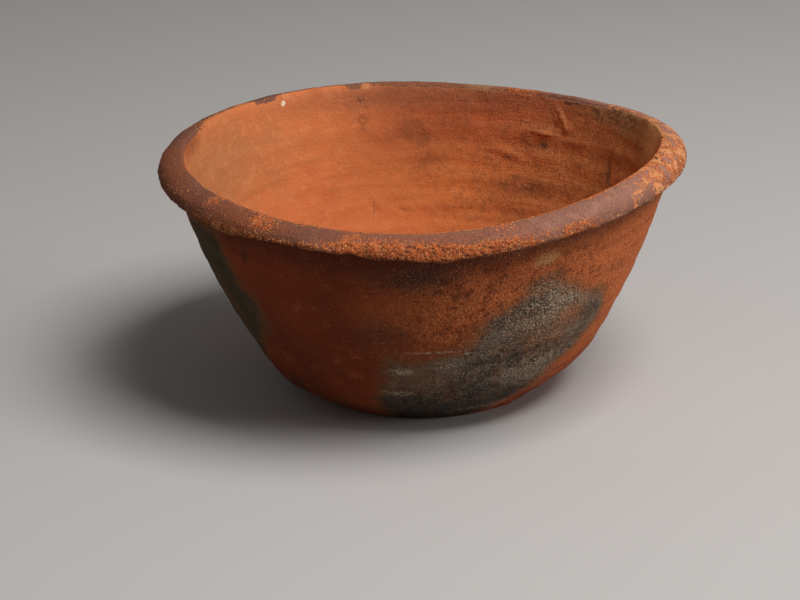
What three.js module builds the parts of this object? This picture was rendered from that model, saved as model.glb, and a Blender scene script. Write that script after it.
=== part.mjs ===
// A flared earthenware bowl, built as a potter builds it: a vessel thrown from one lump of clay and pared
// at its foot, and a strip of clay lapped over the vessel's edge and rolled outwards as the rim.
// Millimetres, +Z up, with the origin at the middle of the foot's resting face.
import * as THREE from "three";

const { cos, sin, exp, PI } = Math;
const inRadians = THREE.MathUtils.degToRad;
const point = (radius, height) => new THREE.Vector2(radius, height);

// Driving sizes of the thrown vessel
const RIM_DIAMETER = 250; // over the widest part of the rolled rim
const HEIGHT = 118; // resting face to the crest of the rim, before the rim sagged
const FOOT_DIAMETER = 108; // to the corner of the flat face that the bowl rests on
const FOOT_ROUNDING = 2; // wear on that corner
const PARED_DIAMETER = 153.5; // where the band pared with a knife meets the thrown wall
const PARED_HEIGHT = 16;
const PARED_ROUNDING = 5; // softening of the line that the knife left
const PARED_LEAN = 4.4; // rise and fall of that line from one side to the other
const PARED_HIGH_SIDE = inRadians(-6);
const WALL_BELLY = 4.5; // how far the wall bows out of a straight line
const WALL_THICKNESS = 7; // at the edge, under the rim
const HEEL_THICKNESS = 11; // where the wall turns into the floor
const HEEL_REACH = 20; // how far the heel's curve runs in over the floor
const FLOOR_THICKNESS = 9;
const EDGE_DROP = 5.5; // crest of the rim down to the outer corner of the vessel's edge

// The spirals that the potter's fingers left on the wall: deep inside, shallow and wide outside
const INNER_RIDGE_DEPTH = 0.4;
const INNER_RIDGE_PITCH = 13;
const OUTER_RIDGE_DEPTH = 0.25;
const OUTER_RIDGE_PITCH = 19;

// Driving sizes of the rim strip
const ROLL_SIDE = 6; // clay outside the vessel's edge
const ROLL_HEIGHT = 11.4; // crest to the underside of the roll
const ROLL_SHOULDER = 8.4; // crest down to the widest part of the roll
const CREST_SETBACK = 11; // widest part of the roll in to its crest
const LUTING = 0.3; // film of slip that joins the strip to the vessel

// The strip's two ends lap at the front: one was pinched thin and the other lies thick over it
const THIN_END = { lift: 2.7, azimuth: inRadians(247), spread: inRadians(14) };
const THICK_END = { lift: -1.6, azimuth: inRadians(271), spread: inRadians(8) };
const ROLL_DROOP = 0.7; // the roll hangs lower at the two raised sides of the rim

// How the rim sagged while the clay dried: two sides rose, two fell, with a slight third wave and a lean
const SADDLE = { rise: 3.5, azimuth: inRadians(-17) };
const THIRD_WAVE = { rise: 1.3, azimuth: inRadians(-22) };
const LEAN = { rise: 1.6, azimuth: inRadians(88) };

// Steps that the curves are cut into
const AROUND = 72;
const WALL_STEPS = 22;
const INSIDE_STEPS = 26;
const HEEL_STEPS = 6;
const ROLL_STEPS = 6;
const ROUNDING_STEPS = 3;

// Outer face of the wall: share 0 lies on the mean knife line and share 1 on the vessel's edge
const knifeLine = point(PARED_DIAMETER / 2, PARED_HEIGHT);
const wallEdge = point(RIM_DIAMETER / 2 - ROLL_SIDE, HEIGHT - EDGE_DROP);
const wallChord = wallEdge.clone().sub(knifeLine);
const wallLength = wallChord.length();
const wallBow = point(wallChord.y, -wallChord.x).setLength(2 * WALL_BELLY)
  .add(knifeLine).addScaledVector(wallChord, 1 / 2);
const outerWall = new THREE.QuadraticBezierCurve(knifeLine, wallBow, wallEdge);

// A point of the wall, moved square to its face: outwards above zero, into the clay below it
function wallPoint(share, outwards) {
  const face = outerWall.getPoint(share);
  const up = outerWall.getTangent(THREE.MathUtils.clamp(share, 0, 1));
  return face.addScaledVector(point(up.y, -up.x), outwards);
}

// Points of a curve after its first one, which closes the stretch before it
const along = (curve, steps) => curve.getPoints(steps).slice(1);
const rounded = (from, corner, to, steps) => along(new THREE.QuadraticBezierCurve(from, corner, to), steps);

// The quarter of an ellipse that starts at one angle about its centre
function quarter(centre, radiusX, radiusY, start) {
  const arc = new THREE.EllipseCurve(centre.x, centre.y, radiusX, radiusY, start, start + PI / 2);
  return along(arc, ROLL_STEPS);
}

// A throwing spiral, which fades out towards the edge and the heel
function ridge(depth, pitch, share, angle) {
  return depth * sin(PI * share) * cos((2 * PI * share * wallLength) / pitch - angle);
}

function outsidePoint(share, angle) {
  return wallPoint(share, ridge(OUTER_RIDGE_DEPTH, OUTER_RIDGE_PITCH, share, angle));
}

function insidePoint(share, angle) {
  const thickness = THREE.MathUtils.lerp(HEEL_THICKNESS, WALL_THICKNESS, share);
  return wallPoint(share, -thickness - ridge(INNER_RIDGE_DEPTH, INNER_RIDGE_PITCH, share, angle));
}

// Section of the vessel: foot, pared band, wall, edge, then back down the inside to the floor
function vesselSection(angle) {
  const lean = PARED_LEAN * cos(angle - PARED_HIGH_SIDE);
  const knifeShare = lean / (2 * (wallBow.y - knifeLine.y));
  const wallStart = knifeShare + PARED_ROUNDING / wallLength;
  const paredTop = outerWall.getPoint(knifeShare);
  const footCorner = point(FOOT_DIAMETER / 2, 0);
  const footEdge = point(FOOT_DIAMETER / 2 - FOOT_ROUNDING, 0);
  const paring = paredTop.clone().sub(footCorner).normalize();
  const paredFoot = footCorner.clone().addScaledVector(paring, FOOT_ROUNDING);
  const paredEnd = paredTop.clone().addScaledVector(paring, -PARED_ROUNDING);

  const section = [point(0, 0), footEdge, ...rounded(footEdge, footCorner, paredFoot, ROUNDING_STEPS)];
  section.push(paredEnd, ...rounded(paredEnd, paredTop, outsidePoint(wallStart, angle), ROUNDING_STEPS));
  for (let step = 1; step <= WALL_STEPS; step++) {
    section.push(outsidePoint(THREE.MathUtils.lerp(wallStart, 1, step / WALL_STEPS), angle));
  }
  for (let step = 0; step <= INSIDE_STEPS; step++) {
    section.push(insidePoint(1 - step / INSIDE_STEPS, angle));
  }
  const heel = section.at(-1);
  const down = outerWall.getTangent(0).negate();
  const corner = heel.clone().addScaledVector(down, (FLOOR_THICKNESS - heel.y) / down.y);
  const floorEdge = point(corner.x - HEEL_REACH, FLOOR_THICKNESS);
  section.push(...rounded(heel, corner, floorEdge, HEEL_STEPS), point(0, FLOOR_THICKNESS));
  return section;
}

// A swelling round one azimuth that dies away on both sides of it
function swelling({ lift, azimuth, spread }, angle) {
  const away = Math.atan2(sin(angle - azimuth), cos(angle - azimuth)) / spread;
  return lift * exp(-(away ** 2) / 2);
}

// Section of the rim strip: underside, roll, crest, then back over the vessel's edge and down its outside
function rimSection(angle) {
  const droop = ROLL_DROOP * cos(2 * (angle - SADDLE.azimuth));
  const underside = ROLL_HEIGHT + droop - swelling(THIN_END, angle) - swelling(THICK_END, angle);
  const neckShare = 1 - (underside - EDGE_DROP) / (2 * (wallEdge.y - wallBow.y));
  const neck = wallPoint(neckShare, LUTING);
  const widest = point(RIM_DIAMETER / 2, HEIGHT - (ROLL_SHOULDER * underside) / ROLL_HEIGHT);
  const crest = point(RIM_DIAMETER / 2 - CREST_SETBACK, HEIGHT);
  const seat = outerWall.getTangent(1).multiplyScalar(LUTING);
  const insideEdge = wallPoint(1, -WALL_THICKNESS).add(seat);

  const section = [neck];
  section.push(...quarter(point(neck.x, widest.y), widest.x - neck.x, widest.y - neck.y, -PI / 2));
  section.push(...quarter(point(crest.x, widest.y), CREST_SETBACK, HEIGHT - widest.y, 0));
  section.push(...rounded(crest, point(insideEdge.x, HEIGHT), insideEdge, ROUNDING_STEPS));
  section.push(wallPoint(1, LUTING).add(seat));
  for (let step = 1; step < ROUNDING_STEPS; step++) {
    section.push(wallPoint(THREE.MathUtils.lerp(1, neckShare, step / ROUNDING_STEPS), LUTING));
  }
  return [...section, neck];
}

// Sag of the drying rim, which grows with height and width and leaves the foot and the floor's middle flat
function settled(angle, { x, y }) {
  const rise = SADDLE.rise * cos(2 * (angle - SADDLE.azimuth))
    + THIRD_WAVE.rise * cos(3 * (angle - THIRD_WAVE.azimuth))
    + LEAN.rise * cos(angle - LEAN.azimuth);
  return point(x, y + rise * (y / HEIGHT) * (x / (RIM_DIAMETER / 2)));
}

// Turns a section that changes a little on its way round the bowl's axis
function turned(sectionAt) {
  const geometry = new THREE.LatheGeometry(sectionAt(0), AROUND);
  const position = geometry.getAttribute("position");
  for (let column = 0, vertex = 0; column <= AROUND; column++) {
    const angle = (2 * PI * (column % AROUND)) / AROUND;
    for (const sectionPoint of sectionAt(angle)) {
      const { x, y } = settled(angle, sectionPoint);
      position.setXYZ(vertex++, x * cos(angle), x * sin(angle), y);
    }
  }
  geometry.computeVertexNormals();
  return geometry;
}

// Bare clay fired to orange, and the worn brown slip that was brushed over the rim
const firedClay = new THREE.MeshStandardMaterial({ color: 0xa85a34, roughness: 0.95, metalness: 0 });
const rimSlip = new THREE.MeshStandardMaterial({ color: 0x6d4a41, roughness: 0.9, metalness: 0 });

const vesselBody = new THREE.Mesh(turned(vesselSection), firedClay);
vesselBody.name = "vessel_body";
const rimStrip = new THREE.Mesh(turned(rimSection), rimSlip);
rimStrip.name = "rim_strip";

const bowl = new THREE.Group();
bowl.add(vesselBody, rimStrip);
export default bowl;
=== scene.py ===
# A flared bowl of unglazed earthenware with a rolled rim, standing on its foot.
# Blender works in metres; the sizes below are the maker's millimetres.
import math

import bpy
import numpy as np
from mathutils import Matrix, Vector


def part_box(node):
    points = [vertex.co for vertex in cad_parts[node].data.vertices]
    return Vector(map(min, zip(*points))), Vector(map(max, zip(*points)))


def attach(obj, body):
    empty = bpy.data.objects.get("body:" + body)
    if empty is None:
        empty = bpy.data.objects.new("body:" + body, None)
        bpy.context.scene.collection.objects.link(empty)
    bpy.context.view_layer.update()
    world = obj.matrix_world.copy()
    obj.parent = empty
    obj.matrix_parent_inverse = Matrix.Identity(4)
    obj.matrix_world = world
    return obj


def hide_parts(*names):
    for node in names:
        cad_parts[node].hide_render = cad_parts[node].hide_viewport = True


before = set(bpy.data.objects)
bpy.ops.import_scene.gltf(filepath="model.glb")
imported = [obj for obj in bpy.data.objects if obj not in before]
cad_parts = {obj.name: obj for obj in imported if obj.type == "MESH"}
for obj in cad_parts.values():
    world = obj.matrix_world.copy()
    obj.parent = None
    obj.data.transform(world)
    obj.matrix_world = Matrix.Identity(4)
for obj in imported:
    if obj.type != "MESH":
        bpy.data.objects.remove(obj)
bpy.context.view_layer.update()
scene = bpy.context.scene
scene.view_settings.view_transform = "Standard"

# The vessel: floor, foot and wall, thrown in one from a lump of sandy red clay on a slow wheel.
# A knife pared the foot, and the fingers that raised the wall left a soft spiral of ridges on it.
# It is bare clay, fired low in an open fire that smoked parts of the outside black.
MM = 0.001
RIM_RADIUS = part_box("rim_strip")[1][0] / MM
EDGE_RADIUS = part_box("vessel_body")[1][0] / MM
HEIGHT = 118  # foot to the crest of the rim, before the rim sagged
EDGE_HEIGHT = 112.5  # foot to the outer corner of the vessel's own edge
FOOT_RADIUS = 54
FOOT_ROUNDING = 2
KNIFE_RADIUS = 76.75  # where the pared band meets the thrown wall
KNIFE_HEIGHT = 16
KNIFE_SOFTNESS = 5
KNIFE_LEAN = 4.4  # how far that line rises on one side and falls on the other
KNIFE_HIGH_SIDE = math.radians(-6)
WALL_BELLY = 4.5  # how far the wall bows out of a straight line
WALL_THICKNESS = 7  # at the edge
HEEL_THICKNESS = 11  # where the wall turns into the floor
HEEL_REACH = 20  # how far the heel's curve runs in over the floor
FLOOR_THICKNESS = 9
SAG = {2: (3.5, -17), 3: (1.3, -22), 1: (1.6, 88)}  # waves round the rim: rise, and azimuth of a high side
POLE_RADIUS = 2  # the innermost ring of points, which a fan closes
VESSEL_COLUMNS = 440
VESSEL_ROWS = {"foot": 14, "corner": 5, "paring": 12, "knife line": 6, "wall": 62, "edge": 5, "inside": 76,
               "heel": 18, "floor": 14}


def parabola(first, pull, last, shares):
    """Points from first to last on a curve that leaves and arrives along the lines through pull."""
    shares = np.asarray(shares)[..., None]
    return (1 - shares) ** 2 * first + 2 * shares * (1 - shares) * pull + shares ** 2 * last


knife_line = np.array([KNIFE_RADIUS, KNIFE_HEIGHT])
wall_edge = np.array([EDGE_RADIUS, EDGE_HEIGHT])
wall_chord = wall_edge - knife_line
wall_length = np.hypot(*wall_chord)
square_to_chord = np.array([wall_chord[1], -wall_chord[0]])
wall_pull = knife_line + wall_chord / 2 + 2 * WALL_BELLY * square_to_chord / wall_length


def wall(shares, outwards=0.0):
    """Points (radius, height) of the wall's outer face, moved square to it by outwards."""
    shares = np.asarray(shares, float)
    climb = (1 - shares)[..., None] * (wall_pull - knife_line) + shares[..., None] * (wall_edge - wall_pull)
    climb /= np.linalg.norm(climb, axis=-1, keepdims=True)
    out = np.stack([climb[..., 1], -climb[..., 0]], axis=-1)
    return parabola(knife_line, wall_pull, wall_edge, shares) + np.asarray(outwards)[..., None] * out


def wall_inside(shares):
    """Points of the wall's inner face; the wall thickens down to its heel."""
    shares = np.asarray(shares, float)
    return wall(shares, -(WALL_THICKNESS + (HEEL_THICKNESS - WALL_THICKNESS) * (1 - shares)))


def vessel_section(angle):
    """The vessel's outline at one azimuth, from the foot's middle up the outside and down to the floor."""
    lean = KNIFE_LEAN * math.cos(angle - KNIFE_HIGH_SIDE) / (2 * (wall_pull[1] - knife_line[1]))
    start = lean + KNIFE_SOFTNESS / wall_length
    knife_top = wall(lean)
    foot = np.array([FOOT_RADIUS, 0.0])
    paring = (knife_top - foot) / np.hypot(*(knife_top - foot))
    foot_low = foot - [FOOT_ROUNDING, 0]
    foot_high = foot + FOOT_ROUNDING * paring
    knife_low = knife_top - KNIFE_SOFTNESS * paring
    inside = wall_inside(np.linspace(1, 0, VESSEL_ROWS["inside"]))
    down = (knife_line - wall_pull) / np.hypot(*(knife_line - wall_pull))
    heel = inside[-1] + down * (FLOOR_THICKNESS - inside[-1][1]) / down[1]
    floor_edge = np.array([heel[0] - HEEL_REACH, FLOOR_THICKNESS])
    return np.concatenate([
        np.linspace([POLE_RADIUS, 0], foot_low, VESSEL_ROWS["foot"]),
        parabola(foot_low, foot, foot_high, np.linspace(0, 1, VESSEL_ROWS["corner"])[1:]),
        np.linspace(foot_high, knife_low, VESSEL_ROWS["paring"])[1:],
        parabola(knife_low, knife_top, wall(start), np.linspace(0, 1, VESSEL_ROWS["knife line"])[1:]),
        wall(np.linspace(start, 1, VESSEL_ROWS["wall"])[1:]),
        np.linspace(wall_edge, inside[0], VESSEL_ROWS["edge"])[1:-1],
        inside,
        parabola(inside[-1], heel, floor_edge, np.linspace(0, 1, VESSEL_ROWS["heel"])[1:]),
        np.linspace(floor_edge, [POLE_RADIUS, FLOOR_THICKNESS], VESSEL_ROWS["floor"])[1:],
    ])


def sag(angle, radius, height):
    """How far the drying rim rose or fell; the foot and the floor's middle stay flat."""
    rise = sum(up * math.cos(waves * (angle - math.radians(at))) for waves, (up, at) in SAG.items())
    return rise * (height / HEIGHT) * (radius / RIM_RADIUS)


def turned(name, section_at, around, poles=()):
    """A piece turned round the bowl's axis; poles are the heights that close it, or none for a ring."""
    rings = []
    for angle in np.linspace(0, 2 * math.pi, around, endpoint=False):
        radius, height = section_at(angle).T
        lifted = height + sag(angle, radius, height)
        rings.append(np.stack([radius * math.cos(angle), radius * math.sin(angle), lifted], axis=1))
    count = len(rings[0])
    points = np.concatenate(rings + [[[0, 0, pole]] for pole in poles])
    column, row = np.meshgrid(np.arange(around), np.arange(count - bool(poles)), indexing="ij")
    here, beside, above = column * count, (column + 1) % around * count, (row + 1) % count
    faces = np.stack([here + row, beside + row, beside + above, here + above], axis=-1)
    faces = faces.reshape(-1, 4).tolist()
    pole = around * count
    for start in range(0, pole * bool(poles), count):
        beside = (start + count) % pole
        faces += [(pole, beside, start), (pole + 1, start + count - 1, beside + count - 1)]
    mesh = bpy.data.meshes.new(name)
    mesh.from_pydata((points * MM).tolist(), [], faces)
    mesh.shade_smooth()
    piece = bpy.data.objects.new(name, mesh)
    scene.collection.objects.link(piece)
    return piece


def mark(piece, name, values):
    """Keeps a number for each point for the node trees; one ring's serve all, and its ends the poles."""
    values = np.ravel(values)
    data = piece.data.attributes.new(name, "FLOAT", "POINT").data
    poles = [values[0], values[-1]][:len(data) % len(values)]
    rings = np.resize(values, len(data) - len(poles))
    data.foreach_set("value", np.append(rings, poles).astype(np.float32))


def add(tree, kind, inputs=None, **options):
    """Adds a node, sets its options, and fills its inputs with values or with what other nodes give."""
    made = tree.nodes.new(kind)
    for option, value in options.items():
        setattr(made, option, value)
    for key, value in (inputs or {}).items():
        if isinstance(value, Field):
            value = value.socket
        if isinstance(value, bpy.types.NodeSocket):
            tree.links.new(value, made.inputs[key])
        else:
            made.inputs[key].default_value = value
    return made


class Field:
    """A number that varies over a piece; sums and products of it add the nodes that work them out."""

    def __init__(self, socket):
        self.socket = socket
        self.tree = socket.id_data

    def maths(self, operation, *others):
        made = add(self.tree, "ShaderNodeMath", dict(enumerate((self, *others))), operation=operation)
        return Field(made.outputs[0])

    def __add__(self, other):
        return self.maths("ADD", other)

    def __sub__(self, other):
        return self.maths("SUBTRACT", other)

    def __rsub__(self, other):
        return self.maths("MULTIPLY_ADD", -1.0, other)

    def __mul__(self, other):
        return self.maths("MULTIPLY", other)

    __radd__, __rmul__ = __add__, __mul__

    def rise(self, low, high):
        """0 up to low, 1 from high on and smooth between them; it falls where low is the greater."""
        made = add(self.tree, "ShaderNodeMapRange", {"Value": self, "From Min": low, "From Max": high},
                   interpolation_type="SMOOTHSTEP")
        return Field(made.outputs[0])


def highest(*fields):
    """The greatest of several numbers at each place."""
    top = fields[0]
    for field in fields[1:]:
        top = top.maths("MAXIMUM", field)
    return top


def relief_tree():
    """Hand marks pushed out along the surface: throwing spiral, lumps, dents, drag lines, grit and dabs."""
    tree = bpy.data.node_groups.new("hand_marks", "GeometryNodeTree")
    tree.interface.new_socket("Geometry", in_out="INPUT", socket_type="NodeSocketGeometry")
    for name in ("Ridge depth", "Ridge pitch", "Lump size", "Lump depth", "Dent size", "Dent depth",
                 "Drag size", "Drag depth", "Grit size", "Grit depth", "Seed"):
        tree.interface.new_socket(name, in_out="INPUT", socket_type="NodeSocketFloat")
    tree.interface.new_socket("Clay", in_out="INPUT", socket_type="NodeSocketMaterial")
    tree.interface.new_socket("Geometry", in_out="OUTPUT", socket_type="NodeSocketGeometry")
    given = add(tree, "NodeGroupInput").outputs
    size = {socket.name: Field(socket) for socket in given if socket.type == "VALUE"}
    position = add(tree, "GeometryNodeInputPosition").outputs[0]
    along, free, gritty, raised = (
        Field(add(tree, "GeometryNodeInputNamedAttribute", {"Name": name}, data_type="FLOAT").outputs[0])
        for name in ("along", "free", "gritty", "raised"))

    def uneven(kind, stretch=(1, 1, 1), detail=2.0):
        place = add(tree, "ShaderNodeVectorMath", {0: position, 1: stretch}, operation="MULTIPLY").outputs[0]
        noise = add(tree, "ShaderNodeTexNoise", {
            "Vector": place, "W": size["Seed"], "Detail": detail,
            "Scale": size[kind + " size"].maths("POWER", -1.0)}, noise_dimensions="4D").outputs[0]
        return (Field(noise) - 0.5) * 2.0

    x, y = (Field(socket) for socket in add(tree, "ShaderNodeSeparateXYZ", {0: position}).outputs[:2])
    turns = along * (2 * math.pi) * size["Ridge pitch"].maths("POWER", -1.0)
    spiral = (turns - y.maths("ARCTAN2", x)).maths("COSINE") * (uneven("Lump", detail=1.0) + 0.6)
    relief = (spiral * size["Ridge depth"] + uneven("Lump") * size["Lump depth"]
              + uneven("Dent") * size["Dent depth"]
              + uneven("Drag", (0.12, 0.12, 1), 3.0) * size["Drag depth"]
              + uneven("Grit") * gritty * size["Grit depth"] + raised)
    normal = add(tree, "GeometryNodeInputNormal").outputs[0]
    push = add(tree, "ShaderNodeVectorMath", {0: normal, "Scale": relief * free}, operation="SCALE")
    moved = add(tree, "GeometryNodeSetPosition", {"Geometry": given["Geometry"], "Offset": push.outputs[0]})
    real = add(tree, "GeometryNodeRealizeInstances", {"Geometry": moved.outputs[0]})
    clad = add(tree, "GeometryNodeSetMaterial", {"Geometry": real.outputs[0], "Material": given["Clay"]})
    add(tree, "NodeGroupOutput", {0: clad.outputs[0]})
    return tree


def shaped_by(piece, tree, settings):
    """Runs a node tree on a piece and keeps the result as the piece's plain mesh."""
    modifier = piece.modifiers.new(tree.name, "NODES")
    modifier.node_group = tree
    for item in tree.interface.items_tree:
        if item.name in settings:
            modifier[item.identifier] = settings[item.name]
    graph = bpy.context.evaluated_depsgraph_get()
    mesh = bpy.data.meshes.new_from_object(piece.evaluated_get(graph), depsgraph=graph)
    piece.modifiers.clear()
    piece.data = mesh


# The radius that a spot lies at, by its height.
WALL_RADII = {0: FOOT_RADIUS, KNIFE_HEIGHT: KNIFE_RADIUS, 40: 90, 70: 105, EDGE_HEIGHT: 116}
LARGE_SPOT = 7  # a spot with a greater half width has a ragged edge, and others crumble
CLAY_SHEEN = 0.25


class Brush:
    """Paints one procedural material in the piece's own coordinates; sizes are in millimetres."""

    def __init__(self, name):
        self.material = bpy.data.materials.new(name)
        self.material.use_nodes = True
        self.tree = self.material.node_tree
        self.shader = self.tree.nodes["Principled BSDF"]
        self.place = add(self.tree, "ShaderNodeTexCoord").outputs["Object"]

    def attribute(self, name):
        return Field(add(self.tree, "ShaderNodeAttribute", attribute_name=name).outputs["Fac"])

    def noise(self, size, detail=4.0, stretch=(1, 1, 1), shift=0.0):
        place = add(self.tree, "ShaderNodeMapping", {
            "Vector": self.place, "Scale": stretch, "Location": (shift, shift, shift)}).outputs[0]
        return Field(add(self.tree, "ShaderNodeTexNoise", {
            "Vector": place, "Scale": 1 / (size * MM), "Detail": detail, "Roughness": 0.55}).outputs[0])

    def grains(self, size, share, shift=0.0):
        """Round grains of sand: 1 in the middle of each; share is how many of the places hold one."""
        place = add(self.tree, "ShaderNodeMapping", {
            "Vector": self.place, "Location": (shift, shift, shift)}).outputs[0]
        cells = add(self.tree, "ShaderNodeTexVoronoi", {"Vector": place, "Scale": 1 / (size * MM)})
        chance = Field(add(self.tree, "ShaderNodeSeparateColor", {0: cells.outputs["Color"]}).outputs[0])
        held = chance.rise(1 - share - 0.02, 1 - share + 0.02)
        return held * Field(cells.outputs["Distance"]).rise(0.5, 0.2)

    def blend(self, share, under, over):
        return add(self.tree, "ShaderNodeMix", {0: share, 6: under, 7: over}, data_type="RGBA").outputs[2]

    def finish(self, colour, relief, roughness):
        """Relief is a height in millimetres."""
        bump = add(self.tree, "ShaderNodeBump", {"Height": relief, "Distance": MM, "Strength": 1.0})
        self.tree.links.new(colour, self.shader.inputs["Base Color"])
        self.tree.links.new(bump.outputs[0], self.shader.inputs["Normal"])
        self.tree.links.new(roughness.socket, self.shader.inputs["Roughness"])
        self.shader.inputs["Specular IOR Level"].default_value = CLAY_SHEEN
        return self.material


WOBBLE = 1.5  # how far the outline of a small spot wanders
WOBBLE_PITCH = 3


class ClayBrush(Brush):
    """A brush with the fired clay's own unevenness, which also breaks the edges of the spots it paints."""

    def __init__(self, name):
        super().__init__(name)
        self.broad = self.noise(34)
        self.mottle = self.noise(8, shift=3.1)
        self.fine = self.noise(2.2, 3.0, shift=7.7)
        self.sand = self.noise(0.85, 2.0, shift=5.9)
        self.streak = self.noise(4.5, 3.0, (0.1, 0.1, 1), 1.7)  # drawn out round the bowl
        self.wipe = self.noise(2.4, 2.0, (1, 1, 0.2), 6.4)  # drawn out up the wall
        self.grain = self.grains(0.9, 0.14)
        self.clump = self.noise(4.6, 4.0, shift=8.8)
        self.tear = (self.streak - 0.5).maths("ABSOLUTE").rise(0.04, 0.0) * self.mottle.rise(0.48, 0.62)
        self.ragged = (self.noise(17, 5.0, shift=5.3) - 0.5) * 1.2 + (self.fine - 0.5) * 0.5
        self.crumbly = (self.mottle - 0.5) * 1.6 + (self.fine - 0.5) * 1.6
        shake = add(self.tree, "ShaderNodeTexNoise", {
            "Vector": self.place, "Scale": 1 / (WOBBLE_PITCH * MM), "Detail": 1.0}).outputs["Color"]
        shake = add(self.tree, "ShaderNodeVectorMath", {
            0: shake, 1: (0.5, 0.5, 0.5)}, operation="SUBTRACT").outputs[0]
        self.wobbly = add(self.tree, "ShaderNodeVectorMath", {
            0: shake, 1: (WOBBLE * MM,) * 3, 2: self.place}, operation="MULTIPLY_ADD").outputs[0]

    def patch(self, azimuth, height, half_width, half_height, tilt=0.0, soft=0.3, radius=None, depth=60):
        """A spot at an azimuth and a height, lying along the wall: 1 in its middle and 0 outside it."""
        at = math.radians(azimuth)
        if radius is None:
            radius = np.interp(height, list(WALL_RADII), list(WALL_RADII.values()))
        large = half_width > LARGE_SPOT
        local = add(self.tree, "ShaderNodeMapping", {
            "Vector": self.place if large else self.wobbly, "Rotation": (math.radians(tilt), 0, at),
            "Location": (radius * math.cos(at) * MM, radius * math.sin(at) * MM, height * MM),
            "Scale": (depth * MM, half_width * MM, half_height * MM)}, vector_type="TEXTURE").outputs[0]
        away = Field(add(self.tree, "ShaderNodeVectorMath", {0: local}, operation="LENGTH").outputs["Value"])
        return (away + (self.ragged if large else self.crumbly)).rise(1 + soft, 1 - soft)

    def patches(self, spots):
        """Several spots as one number; each is a strength and then what patch takes."""
        return highest(*(self.patch(*spot) * strength for strength, *spot in spots))

    def tinted(self, colour, spots):
        """A colour under spots laid on in turn; each is a tint, a strength and then what patch takes."""
        for tint, strength, *spot in spots:
            colour = self.blend(self.patch(*spot) * strength, colour, tint)
        return colour


def rgb(red, green, blue):
    """A colour as it looks on screen, in the linear numbers that a shader takes."""
    return tuple(((c / 255 + 0.055) / 1.055) ** 2.4 for c in (red, green, blue)) + (1.0,)


ORANGE_CLAY = rgb(202, 113, 63)
PALE_CLAY = rgb(220, 148, 97)
RED_CLAY = rgb(184, 94, 54)
BROWN_CLAY = rgb(178, 108, 56)
GOLD_CLAY = rgb(204, 114, 58)
TAN_CLAY = rgb(172, 110, 67)
DEEP_CLAY = rgb(136, 66, 26)
PORE_BROWN = rgb(134, 76, 40)
PORE = rgb(78, 38, 24)
# Painted reflected light: a tan laid on the lip's inner face at the right end.
LIP_REFLECTION_TAN = rgb(226, 172, 112)
RIM_DIRT = rgb(128, 80, 56)
OLIVE_STAIN = rgb(172, 132, 88)
BLACK_STAIN = rgb(70, 54, 38)

# Spots inside: a tint's colour, then strength, azimuth, height, half width, half height, tilt, softness.
INSIDE_TINTS = [
    (TAN_CLAY, 0.9, 170, 98, 64, 24, 0, 0.7),
    (RED_CLAY, 0.85, 62, 104, 64, 24, 0, 0.6),
    (GOLD_CLAY, 0.7, 80, 66, 40, 20, 0, 0.7),
    (BROWN_CLAY, 0.8, 20, 75, 66, 66, 0, 0.6)]
INSIDE_SHADES = [
    (0.7, 173, 117.5, 18, 4, 0, 0.8),
    (0.6, 8, 108, 24, 6, 0, 0.8),
    (0.4, 60, 66, 12, 7, 0, 0.8),
    (0.35, 93, 94, 34, 20, 0, 0.8)]
# On the lip inside: a real olive stain, then painted reflected light as tan on the right end's inner face.
LIP_STAIN_AND_REFLECTION = [
    (OLIVE_STAIN, 0.85, 24, 115, 34, 7, 0, 0.6),
    (LIP_REFLECTION_TAN, 0.9, 4, 114, 14, 9, 0, 0.9)]
CLAY_RIDGES = [(1, 49.2, 105.6, 1.5, 5.6, -40, 0.7), (0.6, 54.2, 97, 6.5, 1.1, 0, 0.7)]
CLAY_HOLLOWS = [(1, 51.3, 100.4, 1.4, 3.2, -20, 0.7), (0.3, 53.6, 95, 4.5, 0.7, 0, 0.7)]
PITTED_STAINS = [(0.6, 106.5, 111, 7, 4.5, 0, 0.8), (0.5, 107, 101, 4, 5, 0, 0.8)]
INSIDE_STAINS = [
    (0.7, 47.5, 113.3, 3.5, 0.8, 0, 0.6), (0.8, 44.5, 114, 1.5, 0.7, 0, 0.5),
    (0.33, 93.6, 95.8, 6, 5, 0, 0.8), (0.3, 89, 90.5, 5, 4, 0, 0.8),
    (0.3, 88, 80, 5, 3.5, 0, 0.8), (0.35, 171.7, 115, 1.2, 2.6, 20, 0.5),
    (0.65, 53.4, 90.6, 2.2, 2.0, 0, 0.5), (0.5, 64, 83, 2.5, 1.2, 0, 0.5),
    (0.6, 26, 87, 2.0, 6.5, -32, 0.5), (0.3, 106.3, 59, 0.6, 2.8, 15, 0.5),
    (0.3, 96.8, 57, 1.6, 0.6, 20, 0.5), (0.35, 57, 69.6, 20, 3.5, 0, 0.8)]


def sandy(paint, colour, share):
    """Dark pores and pale grains over a colour; share is how strongly they show."""
    colour = paint.blend(paint.sand.rise(0.52, 0.36) * share, colour, PORE)
    pale = highest(paint.grain, paint.sand.rise(0.58, 0.7)) * (share + 0.1) * paint.mottle.rise(0.3, 0.6)
    return paint.blend(pale, colour, PALE_CLAY)


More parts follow.
